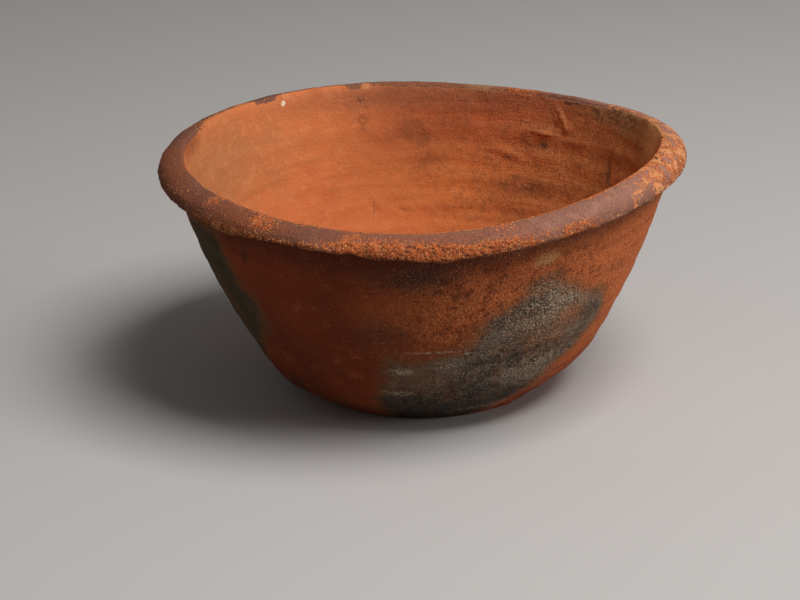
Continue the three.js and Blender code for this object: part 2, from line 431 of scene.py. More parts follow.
def inside_clay(paint):
    """Colour and grain height inside the bowl, which is roughest at the back right."""
    mottle, fine, clump, streak = paint.mottle, paint.fine, paint.clump, paint.streak
    back_right = paint.patch(40, 85, 95, 60, 0, 0.6)
    colour = paint.blend(paint.broad.rise(0.5, 0.75) * 0.6, ORANGE_CLAY, RED_CLAY)
    colour = paint.tinted(colour, INSIDE_TINTS)
    pale = highest(mottle.rise(0.5, 0.75) * 0.2, clump.rise(0.55, 0.75) * 0.3)
    colour = paint.blend(pale, colour, PALE_CLAY)
    colour = paint.blend(paint.patches(INSIDE_SHADES), colour, DEEP_CLAY)
    colour = paint.blend(paint.patch(84, 113, 76, 7, 0, 0.8) * 0.55, colour, RIM_DIRT)

    colour = paint.blend(streak.rise(0.48, 0.72) * (back_right * 0.25 + 0.2), colour, PORE_BROWN)
    wiped = paint.wipe.rise(0.5, 0.7) * mottle.rise(0.4, 0.65)
    colour = paint.blend(highest(paint.tear * 0.12, wiped * 0.4) * back_right, colour, PORE)
    colour = paint.blend(clump.rise(0.52, 0.64) * back_right * 0.5, colour, PORE_BROWN)

    # Olive stain on the lip, and painted reflected light on the right end's inner face.
    colour = paint.tinted(colour, LIP_STAIN_AND_REFLECTION)
    ridge = paint.patches(CLAY_RIDGES)
    hollow = paint.patches(CLAY_HOLLOWS)
    # Real stains, plus painted shade in the dab's hollow (the hollow term).
    stains_and_hollow_shade = highest(paint.patch(30, 114, 26, 5, 0, 0.6) * fine.rise(0.44, 0.6) * 0.7, hollow * 0.2,
                    paint.patches(PITTED_STAINS) * fine.rise(0.5, 0.62), paint.patches(INSIDE_STAINS))
    colour = paint.blend(stains_and_hollow_shade, colour, BLACK_STAIN)
    # Painted highlight: the dab's ridge made paler, as if lit.
    colour = paint.blend(ridge * 0.4, colour, PALE_CLAY)
    relief = (paint.sand * (back_right * 0.3 + 0.2) + fine * 0.45 + mottle * back_right * 0.9 + ridge * 0.8
              - hollow * 0.4 + streak * (back_right * 0.35 + 0.3) + paint.wipe * back_right * 0.3)
    return sandy(paint, colour, back_right * 0.15 + 0.1), relief


OUTSIDE_CLAY = rgb(180, 81, 36)
OUTSIDE_DARK = rgb(122, 54, 28)
OUTSIDE_ORANGE = rgb(222, 121, 66)
SMOKE = rgb(125, 112, 95)
SMOKE_HAZE = rgb(138, 88, 54)
SOOT = rgb(45, 44, 41)
OLIVE_SOOT = rgb(72, 64, 42)
DUST = rgb(196, 176, 148)
LIME = rgb(214, 198, 166)
TAN_SMEAR = rgb(206, 150, 94)

# Spots in the smoke clouds, in the same order.
HAZY_SMOKE = [(0.5, 306, 52, 18, 14, 0, 0.7), (0.5, 264, 34, 16, 10, 0, 0.8)]
DUSTY_SMOKE = [(1, 304, 74, 24, 16, 0, 0.7), (0.7, 303, 33, 14, 7, 0, 0.7)]
GRITTY_SMOKE = [(1, 303, 70, 26, 15, 0, 0.7), (0.6, 300, 34, 20, 10, 0, 0.7)]
SMOKE_WINDOWS = [(0.6, 311, 60, 7, 6, 0, 0.8), (0.35, 205.5, 58, 6.5, 16, -4, 0.6)]
CHARRED_SMOKE = [
    (0.6, 320, 60, 8, 12, 0, 0.7), (0.6, 301, 84, 10, 6, 12, 0.8), (0.9, 205, 60, 20, 50, 0, 0.6),
    (0.8, 297, 71, 8, 7, 0, 0.7), (1, 296, 42, 22, 5, 0, 0.7), (1, 280, 13, 46, 12, 0, 0.5)]


def smoked(paint, clay):
    """The clay's colour under the fire's smoke clouds, and the height of the grit that shows in them."""
    fine, sand, clump = paint.fine, paint.sand, paint.clump
    height = Field(add(paint.tree, "ShaderNodeSeparateXYZ", {0: paint.place}).outputs[2]) * (1 / MM)
    cloud = (paint.attribute("smoke") + (paint.noise(15, 5.0, shift=2.6) - 0.5) * 1.8 + (fine - 0.5) * 0.8
             + (paint.streak - 0.5) * 1.0 + paint.patch(301.5, 87, 10, 4, 15, 0.9) * 0.5)
    clay = paint.blend(cloud.rise(-1.1, 0.2) * 0.7, clay, SMOKE_HAZE)
    drift = paint.noise(11, 3.0, (0.35, 0.35, 1), 4.7)
    pale = drift.rise(0.4, 0.62) * 0.5 + sand.rise(0.4, 0.6) * 0.4 + clump.rise(0.4, 0.62) * 0.5
    ash = paint.blend(pale * (height.rise(10, 40) * 0.85 + 0.15), SOOT, SMOKE)
    ash = paint.blend(paint.patches(HAZY_SMOKE), ash, SMOKE_HAZE)
    ash = paint.blend(paint.patches(DUSTY_SMOKE) * sand.rise(0.42, 0.62) * 0.75, ash, DUST)
    ash = paint.blend(paint.patches(CHARRED_SMOKE) * (fine + clump).rise(1.2, 0.9) * 0.85, ash, SOOT)
    grit = paint.grains(1.7, 0.5, 2.2) * paint.patches(GRITTY_SMOKE)
    ash = paint.blend(grit * 0.75, ash, DUST)
    lime = paint.grains(0.9, 0.16, 0.7) * paint.broad.rise(0.3, 0.6) * (height.rise(10, 50) * 0.5 + 0.3)
    ash = paint.blend(lime, ash, LIME)
    ash = paint.blend(paint.patch(212, 70, 26, 50, 0, 0.6) * 0.7, ash, OLIVE_SOOT)
    thin = 1 - paint.patches(SMOKE_WINDOWS)
    cover = cloud.rise(-0.5, 0.8) * thin * (paint.mottle.rise(0.75, 0.5) * 0.25 + 0.72)
    return paint.blend(cover, clay, ash), grit


# Spots outside, in the same order.
OUTSIDE_TINTS = [
    (OUTSIDE_DARK, 0.6, 240, 60, 60, 60, 0, 0.6),
    (OUTSIDE_ORANGE, 0.65, 283, 73, 44, 20, 0, 0.7)]
SOOT_SMEARS = [(0.65, 268, 92, 18, 6, 0, 0.8), (0.4, 259, 61, 12, 8, 0, 0.9)]
# A dark scratch at the left, and painted shade in the dents of the hand dabs in front.
DARK_DABS_AND_DENT_SHADE = [
    (1, 225.3, 93.5, 1.6, 3.6, -25, 0.6), (1, 272.4, 84.6, 2.4, 1.8, 30, 0.6),
    (0.8, 277.6, 81.6, 5, 1.5, -5, 0.6)]
CLAY_CRUMBS = [(1, 277.8, 77.4, 3, 1.8, 0, 0.6), (1, 273.2, 86.8, 1.6, 1, 0, 0.6)]
LIME_DABS = [
    (1, 262.8, 39, 6, 2, 0, 0.6), (1, 260.5, 25, 7, 1.6, 0, 0.6), (0.9, 272.5, 50.6, 14, 0.8, 1, 0.5),
    (1, 281, 48.6, 1.8, 1.2, 20, 0.5), (0.8, 275.5, 42, 6, 1.2, 8, 0.6), (0.5, 292, 9, 14, 2.5, 0, 0.8)]


def outside_clay(paint):
    """Colour and grain height outside the bowl, which is orange at the right and sandiest in front."""
    fine, clump, streak = paint.fine, paint.clump, paint.streak
    right = paint.patch(328, 75, 60, 50, 0, 0.6)
    front = paint.patch(290, 72, 48, 36, 0, 0.7)
    colour = paint.blend(paint.broad.rise(0.38, 0.66) * 0.8, OUTSIDE_CLAY, OUTSIDE_DARK)
    colour = paint.blend(right * 0.85, colour, OUTSIDE_ORANGE)
    colour = paint.tinted(colour, OUTSIDE_TINTS)

    colour = paint.blend(paint.mottle.rise(0.55, 0.75) * 0.4, colour, OUTSIDE_ORANGE)
    colour = paint.blend(highest(streak.rise(0.52, 0.7) * 0.5, paint.tear * 0.3), colour, OUTSIDE_DARK)
    colour = paint.blend(fine.rise(0.5, 0.32) * (front * 0.35 + 0.08), colour, OUTSIDE_DARK)
    colour = paint.blend(clump.rise(0.5, 0.36) * front * 0.75, colour, OUTSIDE_DARK)
    colour = paint.blend(clump.rise(0.54, 0.68) * front * 0.5, colour, OUTSIDE_ORANGE)
    colour = paint.blend(fine.rise(0.52, 0.66) * highest(right * 0.3, front * 0.5), colour, OUTSIDE_ORANGE)
    # Painted shade: the wall darkened just under the roll, where the roll shades it.
    colour = paint.blend(paint.attribute("painted_rim_shade") * 0.7, colour, PORE)
    colour, grit = smoked(paint, colour)

    smear = paint.patch(297.6, 95, 5.5, 3.4, 8, 0.5) * fine.rise(0.3, 0.5)
    colour = paint.blend(smear * 0.8, colour, TAN_SMEAR)
    # Darker near the foot at the left, in grains.
    darker_foot_left = paint.patch(218, 15, 20, 8, 0, 0.7) * (fine + clump).rise(0.8, 1.1)
    colour = paint.blend(darker_foot_left * 0.7, colour, OLIVE_SOOT)
    colour = paint.blend(paint.patches(SOOT_SMEARS), colour, SOOT)
    dab = paint.patches(DARK_DABS_AND_DENT_SHADE)
    crumb = paint.patches(CLAY_CRUMBS)
    # Painted shade in the dents, and the dark scratch.
    colour = paint.blend(dab * 0.55, colour, PORE)
    colour = paint.blend(crumb * fine.rise(0.4, 0.55) * 0.6, colour, OUTSIDE_ORANGE)
    chalky = paint.patches(LIME_DABS) * (fine + paint.sand).rise(0.9, 1.15)
    colour = paint.blend(chalky * 0.75, colour, LIME)
    relief = (paint.sand * 0.8 + fine * 0.9 + streak * 0.5 + paint.grain * 0.2 + grit * 0.35 + crumb * 0.5
              - paint.tear * 0.2 - dab * 0.8)
    return sandy(paint, colour, highest(right * 0.35, front * 0.55) + 0.1), relief


def clay_material():
    paint = ClayBrush("bare_clay")
    inner, inner_relief = inside_clay(paint)
    outer, outer_relief = outside_clay(paint)
    inside = paint.attribute("inside")
    relief = outer_relief + inside * (inner_relief - outer_relief)
    return paint.finish(paint.blend(inside, outer, inner), relief, relief.rise(0.2, 1.4) * 0.16 + 0.82)


TINY = 1e-9  # keeps a line of no length from dividing by zero


def places_on(piece):
    """The azimuth in radians, the radius and the height of each point of a piece."""
    points = np.empty(len(piece.data.vertices) * 3)
    piece.data.vertices.foreach_get("co", points)
    x, y, z = points.reshape(-1, 3).T / MM
    return np.arctan2(y, x), np.hypot(x, y), z


def stroke(piece, side, start, end, width, height):
    """Relief of one dab or scratch drawn on a piece between two places, each an azimuth and a height."""
    angle, radius, tall = places_on(piece)
    unrolled = np.stack([angle * radius, tall], axis=1)
    first, last = (
        np.stack([radius * np.radians((azimuth + 180) % 360 - 180), np.full_like(radius, level)], axis=1)
        for azimuth, level in (start, end))
    line = last - first
    share = np.clip(((unrolled - first) * line).sum(1) / ((line ** 2).sum(1) + TINY), 0, 1)[:, None]
    away = np.linalg.norm(unrolled - first - share * line, axis=1)
    return height * MM * np.exp(-(away / width) ** 2) * side


def inside_of(piece, places):
    """How far each point lies inside an outline drawn on the wall as azimuths and heights."""
    angle, radius, tall = places_on(piece)
    middle = np.mean([azimuth for azimuth, level in places])
    turn = (np.degrees(angle) - middle + 180) % 360 - 180
    reach = radius * math.radians(1)
    crossings = np.zeros(len(turn), int)
    nearest = np.full(len(turn), np.inf)
    for (first, low), (last, high) in zip(places, places[1:] + places[:1]):
        first, last = first - middle, last - middle
        across, up = (last - first) * reach, high - low
        sideways, climb = (turn - first) * reach, tall - low
        share = np.clip((sideways * across + climb * up) / (across ** 2 + up ** 2 + TINY), 0, 1)
        nearest = np.minimum(nearest, np.hypot(sideways - share * across, climb - share * up))
        if high != low:
            meets = first + climb / up * (last - first)
            crossings += ((low > tall) != (high > tall)) & (turn < meets)
    return np.where(crossings % 2, nearest, -nearest)


def facing(azimuth, towards):
    """1 where the bowl faces an azimuth, falling to -1 on its far side."""
    return np.cos(np.radians(azimuth - towards))


# Outlines of the two smoke clouds, at the front right and at the left: azimuth, height.
FRONT_CLOUD = [
    (302, 82), (311, 73), (323, 64), (326, 52), (323, 42), (317, 35), (311, 26), (304, 17), (297, 8),
    (286, -4), (252, -4), (252, 10), (256, 33), (260, 46), (267, 46), (278, 50), (283, 58), (287, 67),
    (292, 75), (297, 81)]
LEFT_CLOUD = [
    (214, 102), (217, 91), (217.5, 80), (219, 73), (222, 66), (222, 58), (219, 50), (213, 40), (206, 29),
    (197, 14), (188, 2), (178, 4), (171, 20), (174, 35), (163, 47), (158, 58), (170, 60), (180, 68),
    (182, 80), (192, 84), (199, 97)]
SMOKE_SOFTNESS = 7
# Single dabs and scratches: where each starts and ends, its width, and its height or, below 0, its depth.
INSIDE_STROKES = [
    ((51.3, 110), (46.6, 101), 2.0, 1.4), ((57.5, 98.6), (53.6, 96.2), 1.8, 0.6),
    ((53.6, 96.2), (50.2, 98.4), 1.8, 0.6), ((52.6, 105), (50.6, 100), 2.0, -0.6),
    ((69, 86.8), (61, 84), 2.0, 0.7), ((107, 61.5), (105.5, 56.5), 1.6, -0.7),
    ((98, 58), (95.5, 56), 1.2, -0.6)]
OUTSIDE_STROKES = [
    ((310.5, 3.5), (308.5, 3.5), 1.6, 1.4), ((276, 86), (283, 84), 2.0, 0.6),
    ((272.6, 88), (274.5, 85), 1.2, -0.7), ((276.4, 84), (279.4, 82.4), 1.2, -0.7)]
MARKS_FROM = 4  # height from which the foot shows hand marks and sand; its face stays flat
COVERED_ROWS = 4  # rows on each side of the edge's middle that lie under the rim strip
FADING_ROWS = 5
BARE_FLOOR_ROWS = 20  # the middle of the floor, which has no loose sand
RIM_SHADE_END = 24.8  # how far down from the edge the painted shade under the roll reaches
RIM_SHADE_FADE = 8

vessel = turned("vessel_clay", vessel_section, VESSEL_COLUMNS, (0, FLOOR_THICKNESS))
outline = vessel_section(0)
along = np.cumsum(np.hypot(*np.diff(outline, axis=0, prepend=outline[:1]).T))
row = np.arange(len(outline))
edge_row = np.argmax(outline[:, 1])
inner_rows = row > edge_row
from_edge = np.abs(row - edge_row - VESSEL_ROWS["edge"] // 2)
azimuths = np.linspace(0, 360, VESSEL_COLUMNS, endpoint=False)[:, None]
mark(vessel, "along", along * MM)
mark(vessel, "inside", inner_rows)
rougher = 0.8 + 0.8 * np.clip(facing(azimuths, 45), 0, 1) * inner_rows
uncovered = np.clip((from_edge - COVERED_ROWS) / FADING_ROWS, 0, 1)
mark(vessel, "free", rougher * (np.clip(outline[:, 1] / MARKS_FROM, 0, 1) * uncovered))
mark(vessel, "gritty", [0.0])
# Painted shade under the roll: strongest at the front right, fading down the wall.
rim_shade = np.clip((RIM_SHADE_END - (along[edge_row] - along)) / RIM_SHADE_FADE, 0, 1) * ~inner_rows
mark(vessel, "painted_rim_shade", rim_shade * np.clip(0.55 + 0.6 * facing(azimuths, 315), 0.2, 1))
rubbed = np.where(inner_rows, facing(azimuths, 30) * 0.3, facing(azimuths, 315) * 2 - 1)
off_strip = from_edge > COVERED_ROWS + 1
off_floor = (outline[:, 1] > MARKS_FROM) & (row < len(row) - BARE_FLOOR_ROWS)
mark(vessel, "sandy", np.clip(rubbed, 0, 1) * (off_strip & off_floor))
depth_in_smoke = np.maximum(inside_of(vessel, FRONT_CLOUD), inside_of(vessel, LEFT_CLOUD))
mark(vessel, "smoke", np.clip(depth_in_smoke / SMOKE_SOFTNESS, -2, 2))
inner_side = np.resize(inner_rows, len(vessel.data.vertices))
mark(vessel, "raised", sum(stroke(vessel, inner_side, *line) for line in INSIDE_STROKES)
     + sum(stroke(vessel, ~inner_side, *line) for line in OUTSIDE_STROKES))
hand_marks = relief_tree()
shaped_by(vessel, hand_marks, {
    "Ridge depth": 0.25 * MM, "Ridge pitch": 13 * MM, "Lump size": 26 * MM, "Lump depth": 0.6 * MM,
    "Dent size": 9 * MM, "Dent depth": 0.5 * MM, "Drag size": 5 * MM, "Drag depth": 0.55 * MM,
    "Grit size": 3 * MM, "Grit depth": 0.0, "Seed": 4.0, "Clay": clay_material()})
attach(vessel, "root")
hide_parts("vessel_body")

# The rim: a strip of the same clay lapped over the vessel's edge and rolled outwards while the wheel turned.
# Its lower lap was only smeared down, so it is ragged and crumbles, and its two ends overlap at the front.
# Brown slip was brushed over the roll; handling has worn it off down to the sandy clay in many places.
ROLL_HEIGHT = 11.4  # crest to the underside of the roll
ROLL_SHOULDER = 8.4  # crest down to the widest part of the roll
ROLL_DROOP = 0.7  # how much lower the roll hangs at the two raised sides of the rim
CREST_SETBACK = 11  # widest part of the roll in to its crest
THIN_END = (2.7, 247, 14)  # lift of the underside, azimuth, spread
THICK_END = (-1.6, 271, 8)
ROOT = 0.4  # how far the strip was pressed into the vessel's wall
LAP_INSIDE = 8  # how far the strip reaches down the inside of the wall
LAP_PROUD = 0.25  # how far it stands out of the wall there
BED_DEPTH = 3.0  # where its hidden back lies in the vessel's edge
TEARS = {11: 1.0, 4: 0.7}  # pitch and depth of the ragged lap's waves
RIM_COLUMNS = 620
RIM_ROWS = {"underside": 28, "roll": 46, "lip": 16, "lap": 8, "bed": 5, "back": 8}
chance = np.random.default_rng(11)
tears = [chance.uniform(-1, 1, round(2 * math.pi * RIM_RADIUS / pitch)) for pitch in TEARS]


def swelling(angle, lift, azimuth, spread):
    """How far the underside is lifted where one end of the strip lies."""
    away = (math.degrees(angle) - azimuth + 180) % 360 - 180
    return lift * math.exp(-(away / spread) ** 2 / 2)


def torn_at(angle):
    """How far the ragged lap hangs down at one azimuth."""
    torn, turn = 0, 2 * math.pi
    for tear, depth in zip(tears, TEARS.values()):
        torn += depth * np.interp(angle, np.linspace(0, turn, len(tear), endpoint=False), tear, period=turn)
    return torn


def rim_section(angle):
    """The strip's outline at one azimuth: underside, roll, crest, then over the edge and down the wall."""
    droop = ROLL_DROOP * math.cos(2 * (angle - math.radians(SAG[2][1])))
    underside = ROLL_HEIGHT + droop - swelling(angle, *THIN_END) - swelling(angle, *THICK_END)
    drop = underside + torn_at(angle) - (HEIGHT - EDGE_HEIGHT)
    neck = wall(1 - drop / (2 * (wall_edge[1] - wall_pull[1])), -ROOT)
    widest = np.array([RIM_RADIUS, HEIGHT - ROLL_SHOULDER * underside / ROLL_HEIGHT])
    crest = np.array([RIM_RADIUS - CREST_SETBACK, HEIGHT])
    edge, lower = wall_inside([1.0, 0.97])
    climb = (edge - lower) / np.hypot(*(edge - lower))
    lip = edge - [LAP_PROUD, 0]
    pull = edge + climb * (HEIGHT - edge[1]) / climb[1] - [LAP_PROUD, 0]
    tuck = edge - LAP_INSIDE * climb + [ROOT, 0]
    bed = wall(1.0, -BED_DEPTH)
    under = np.linspace(0, math.pi / 2, RIM_ROWS["underside"])
    over = np.linspace(0, math.pi / 2, RIM_ROWS["roll"])[1:]
    return np.concatenate([
        np.stack([neck[0] + (widest[0] - neck[0]) * np.sin(under),
                  widest[1] - (widest[1] - neck[1]) * np.cos(under)], axis=1),
        np.stack([crest[0] + CREST_SETBACK * np.cos(over),
                  widest[1] + (HEIGHT - widest[1]) * np.sin(over)], axis=1),
        parabola(crest, pull, lip, np.linspace(0, 1, RIM_ROWS["lip"])[1:]),
        parabola(lip, lip - LAP_INSIDE / 2 * climb, tuck, np.linspace(0, 1, RIM_ROWS["lap"])[1:]),
        np.linspace(tuck, bed, RIM_ROWS["bed"])[1:],
        np.linspace(bed, neck, RIM_ROWS["back"])[1:-1],
    ])


SLIP_DARK = rgb(116, 74, 59)
SLIP_BROWN = rgb(141, 90, 69)
SLIP_MAUVE = rgb(147, 100, 84)
SLIP_RED = rgb(142, 76, 47)
SLIP_PALE = rgb(178, 126, 104)
SLIP_EARTH = rgb(138, 82, 52)
WORN_CLAY = rgb(197, 101, 48)
WORN_DEEP = rgb(136, 65, 34)
WORN_PALE = rgb(224, 158, 104)
WORN_PORE = rgb(60, 33, 24)
WORN_TAN = rgb(214, 146, 98)
PALE_FLAKE_AND_HIGHLIGHT = rgb(196, 122, 84)

# Spots on the rim, in the same order, and then the radius that a spot lies at and its depth inwards.
RED_SLIP = [(1, 192, 112, 60, 13, 0, 0.6, 122, 16), (1, 229, 112.5, 22, 7, 0, 0.8, 122)]
WORN_SPOTS = [  # all of one strength, so the numbers start at the azimuth
    (217.7, 116.4, 4, 4, 0, 0.9, 118, 5), (234, 113.8, 7, 4, 0, 0.9, 120, 5),
    (255.4, 111.4, 6, 4, 0, 0.9, 120.5, 6), (262, 110.2, 10, 3, 0, 0.9, 122, 5),
    (303.5, 110, 12, 4, 0, 0.7, 124.7, 6), (341, 119, 34, 12, 0, 0.6, 120, 14),
    (287, 115, 5, 2.5, 0, 0.9, 118, 5), (270, 108.5, 9, 3.5, 0, 0.9, 123, 5),
    (120, 117, 12, 5, 0, 0.8, 115, 8), (62, 116, 14, 5, 0, 0.8, 115, 8), (160, 117, 9, 5, 0, 0.8, 115, 8)]
# Pale flakes on the lap's lower edge, lightened further as a painted highlight on their lit tops.
FLAKES_WITH_HIGHLIGHT = [(1, 249.2, 107.7, 6.5, 0.8, 5, 0.5, 124.7, 5), (1, 295.5, 104.5, 3.5, 0.8, -10, 0.5, 123.6, 5)]
RIM_STAINS = [
    (BLACK_STAIN, 0.22, 51, 113.5, 14, 5, 0, 0.7, 112.5, 7),
    (OLIVE_STAIN, 0.45, 73, 116, 8, 5, 0, 0.7, 113, 7)]
KEPT_SLIP = [(1, 134.5, 120, 7, 5, 0, 0.4, 114, 9), (1, 107.5, 118, 4, 5, 0, 0.4, 113.5, 8)]
RUBBED_SLIP = [(1, 146, 119, 26, 12, 0, 0.5, 114, 14), (0.66, 118, 118, 28, 12, 0, 0.5, 114, 14)]
PALE_CRUMBS = [(1, 127.4, 120, 1.8, 2.4, 0, 0.6, 114, 3), (1, 104.4, 118, 2, 2.4, 0, 0.6, 113, 3)]
RIM_PITS = [(1, 338, 121.7, 1.1, 1.1, 0, 0.3, 115.2, 1.1), (1, 354.7, 121.4, 1, 1, 0, 0.3, 113.5, 1)]


def slip_material():
    """Brown slip over the clay: across is millimetres from the crest down the outside, below 0 inside."""
    paint = ClayBrush("worn_slip")
    inner, inner_relief = inside_clay(paint)
    across = paint.attribute("across") * (1 / MM)
    axes = add(paint.tree, "ShaderNodeSeparateXYZ", {0: paint.place}).outputs
    sideways, away = (Field(axis) * (1 / MM) for axis in axes[:2])
    broad = paint.noise(20, shift=9.2)
    blotch = paint.noise(5, shift=2.2)
    fine = paint.noise(1.8, 3.0, shift=4.4)
    sand = paint.noise(0.9, 2.0, shift=6.1)
    brushed = paint.noise(5.5, 5.0, (1, 0.8, 1), 8.3)
    grain = paint.grains(0.9, 0.2, 1.2)
    right_end = sideways.rise(70, 108)
    paint.ragged = paint.crumbly = (blotch - 0.5) * 1.8 + (broad - 0.5) * 1.2
    front = paint.patch(271, 108, 44, 40, 0, 0.5)
    torn = paint.patch(231, 107, 32, 6, 0, 0.5, 123, 14)

    slip = paint.blend((sideways + (broad - 0.5) * 120).rise(-105, -20), SLIP_DARK, SLIP_BROWN)
    slip = paint.blend((sideways + (broad - 0.5) * 90).rise(-10, 80), slip, SLIP_MAUVE)
    red = highest(paint.patches(RED_SLIP), front * across.rise(0, 6) * 0.5)
    slip = paint.blend(red * 0.8, slip, SLIP_RED)
    slip = paint.blend(paint.patch(78, 118, 78, 14, 0, 0.6, 114, 20) * 0.85, slip, SLIP_EARTH)
    slip = paint.blend(blotch.rise(0.5, 0.7) * 0.35, slip, SLIP_DARK)
    slip = paint.blend(sand.rise(0.55, 0.3) * 0.4, slip, WORN_PORE)
    slip = paint.blend(sand.rise(0.58, 0.72) * 0.25, slip, WORN_CLAY)
    faded = highest(brushed.rise(0.48, 0.66) * sideways.rise(0, 70) * 0.4, right_end * 0.3)
    slip = paint.blend(faded, slip, SLIP_PALE)
    # Painted shade: the slip darker down the lower half of the roll on the right, where it turns from the
    # lamps.
    slip = paint.blend(across.rise(7, 16) * sideways.rise(20, 70) * 0.85, slip, SLIP_DARK)

    fringe = torn * across.rise(12, 14.5)
    # Wear along the crest at the front, which also serves as a painted highlight along the lip's edge.
    crest_wear_and_highlight = across.rise(2.2, 0.0) * away.rise(80, 20) * sideways.rise(-110, -50)
    spots = highest(*(paint.patch(*spot) for spot in WORN_SPOTS))
    wear = (spots * 0.4 + front * across.rise(7, 12.5) * 0.65 + fringe * 0.8 + red * 0.1 + crest_wear_and_highlight * 0.5
            + across.rise(13, 18) * 0.2 + (broad - 0.5) * 0.5 + right_end * ((brushed - 0.5) * 2.6 + 0.15))
    speckle = ((fine - 0.5) + (sand - 0.5)) * (0.75 - right_end * 0.3)
    worn = (wear + (blotch - 0.5) * 1.0 + speckle).rise(0.18, 0.5)
    # The worn clay deepened down the lower roll as painted shade there.
    clay = paint.blend(blotch.rise(0.36, 0.6) * 0.5 + across.rise(7, 14) * 0.35, WORN_CLAY, WORN_DEEP)
    clay = paint.blend(right_end * brushed.rise(0.46, 0.6) * 0.85, clay, WORN_TAN)
    clay = paint.blend(fine.rise(0.54, 0.66) * 0.6, clay, WORN_CLAY)
    clay = paint.blend((fine + sand).rise(0.98, 0.78) * 0.85, clay, WORN_PORE)
    clay = paint.blend(sand.rise(0.56, 0.7) * 0.7, clay, WORN_PALE)
    colour = paint.blend(worn, slip, clay)

    pale = highest(grain * (wear.rise(0.0, 0.4) * 0.5 + 0.15), sand.rise(0.5, 0.62) * fringe * 0.8)
    colour = paint.blend(pale, colour, WORN_PALE)
    # Painted shade with dark pores on the roll's underside, where it turns under.
    colour = paint.blend(across.rise(14, 19) * (fine + blotch).rise(0.8, 1.1) * 0.7, colour, WORN_PORE)
    # Pale flakes with a painted highlight.
    colour = paint.blend(paint.patches(FLAKES_WITH_HIGHLIGHT) * fine.rise(0.35, 0.5) * 0.8, colour, PALE_FLAKE_AND_HIGHLIGHT)
    colour = paint.tinted(colour, RIM_STAINS)
    lowered = paint.patches(RUBBED_SLIP) * (1 - paint.patches(KEPT_SLIP)) * 5
    limit = highest(away.rise(20, 90), sideways.rise(-60, -100)) * 2.4 - lowered
    bare = (across + (fine - 0.5) * 2 + (blotch - 0.5) * 2 + limit).rise(0.3, -0.6)
    colour = paint.blend(bare, colour, inner)
    colour = paint.blend(paint.patches(PALE_CRUMBS) * fine.rise(0.35, 0.55) * 0.6, colour, WORN_TAN)
    colour = paint.blend(paint.patches(RIM_PITS), colour, WORN_PORE)
    colour = paint.blend(paint.patch(128.8, 115.8, 0.9, 1.1, 30, 0.2, 112.6, 2), colour, LIME)
    rough = sand * 0.55 + fine * 0.7 * (worn + 0.3) + grain * 0.2 - worn * blotch * 0.6
    relief = rough + bare * (inner_relief - rough)
    return paint.finish(colour, relief, worn * 0.15 + 0.8)


# Single dabs and a scratch on the lap: start, end, width, and height or, below 0, depth.
RIM_STROKES = [
    ((245, 108.4), (253.5, 107.2), 1.5, 1.0), ((244, 105.4), (256, 104.2), 1.8, -1.2),
    ((219, 107), (226, 106), 1.5, 0.8)]
LAP_FADE = 1.5  # how far up the lap hand marks come to full height
LAP_START = 0.3  # a head start, so that the lap's edge has some too
LIP_FADING_ROWS = 8
SAND_OVER_CREST = 3  # rows past the crest that still hold sand

rim = turned("rim_clay", rim_section, RIM_COLUMNS)
outline = rim_section(math.radians(90))
along = np.cumsum(np.hypot(*np.diff(outline, axis=0, prepend=outline[:1]).T))
row = np.arange(len(outline))
crest_row = np.argmax(outline[:, 1])
lip_row = crest_row + RIM_ROWS["lip"] - 1
seen = row <= lip_row
mark(rim, "along", along * MM)
mark(rim, "across", (along[crest_row] - along) * MM)
fading = np.clip((along + LAP_START) / LAP_FADE, 0, 1) * np.clip((lip_row - row) / LIP_FADING_ROWS, 0, 1)
mark(rim, "free", seen * fading)
mark(rim, "gritty", np.clip(1.2 - along / 16, 0.25, 1) * seen)
mark(rim, "sandy", np.clip(1.25 - along / 13, 0.05, 1) * (row <= crest_row + SAND_OVER_CREST))
seen_side = np.resize(seen, len(rim.data.vertices))
mark(rim, "raised", sum(stroke(rim, seen_side, *line) for line in RIM_STROKES))
shaped_by(rim, hand_marks, {
    "Ridge depth": 0.0, "Ridge pitch": 13 * MM, "Lump size": 16 * MM, "Lump depth": 0.7 * MM,
    "Dent size": 7 * MM, "Dent depth": 0.3 * MM, "Drag size": 3 * MM, "Drag depth": 0.3 * MM,
    "Grit size": 2.4 * MM, "Grit depth": 0.7 * MM, "Seed": 9.0, "Clay": slip_material()})
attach(rim, "root")
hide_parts("rim_strip")

# Sand: the coarse grains mixed into the clay, which stand proud where its skin has rubbed off.
# They are tan, red and dark brown, and each is partly sunk in the clay that holds it.
GRAIN_SIZE = 0.34  # radius of the largest
SMALLEST_GRAIN = 0.4  # as a share of that
GRAIN_SUNK = 0.4  # depth of each one's middle, likewise
GRAIN_PALE = rgb(204, 160, 116)
GRAIN_DARK = rgb(96, 62, 46)
GRAIN_RED = rgb(176, 94, 52)
STREWN = [  # name, piece, grains to the square millimetre where it is sandiest, seed, slot
    ("wall_sand", vessel, 0.09, 21, "fired_clay"),
    ("rim_sand", rim, 0.4, 22, "rim_slip")]


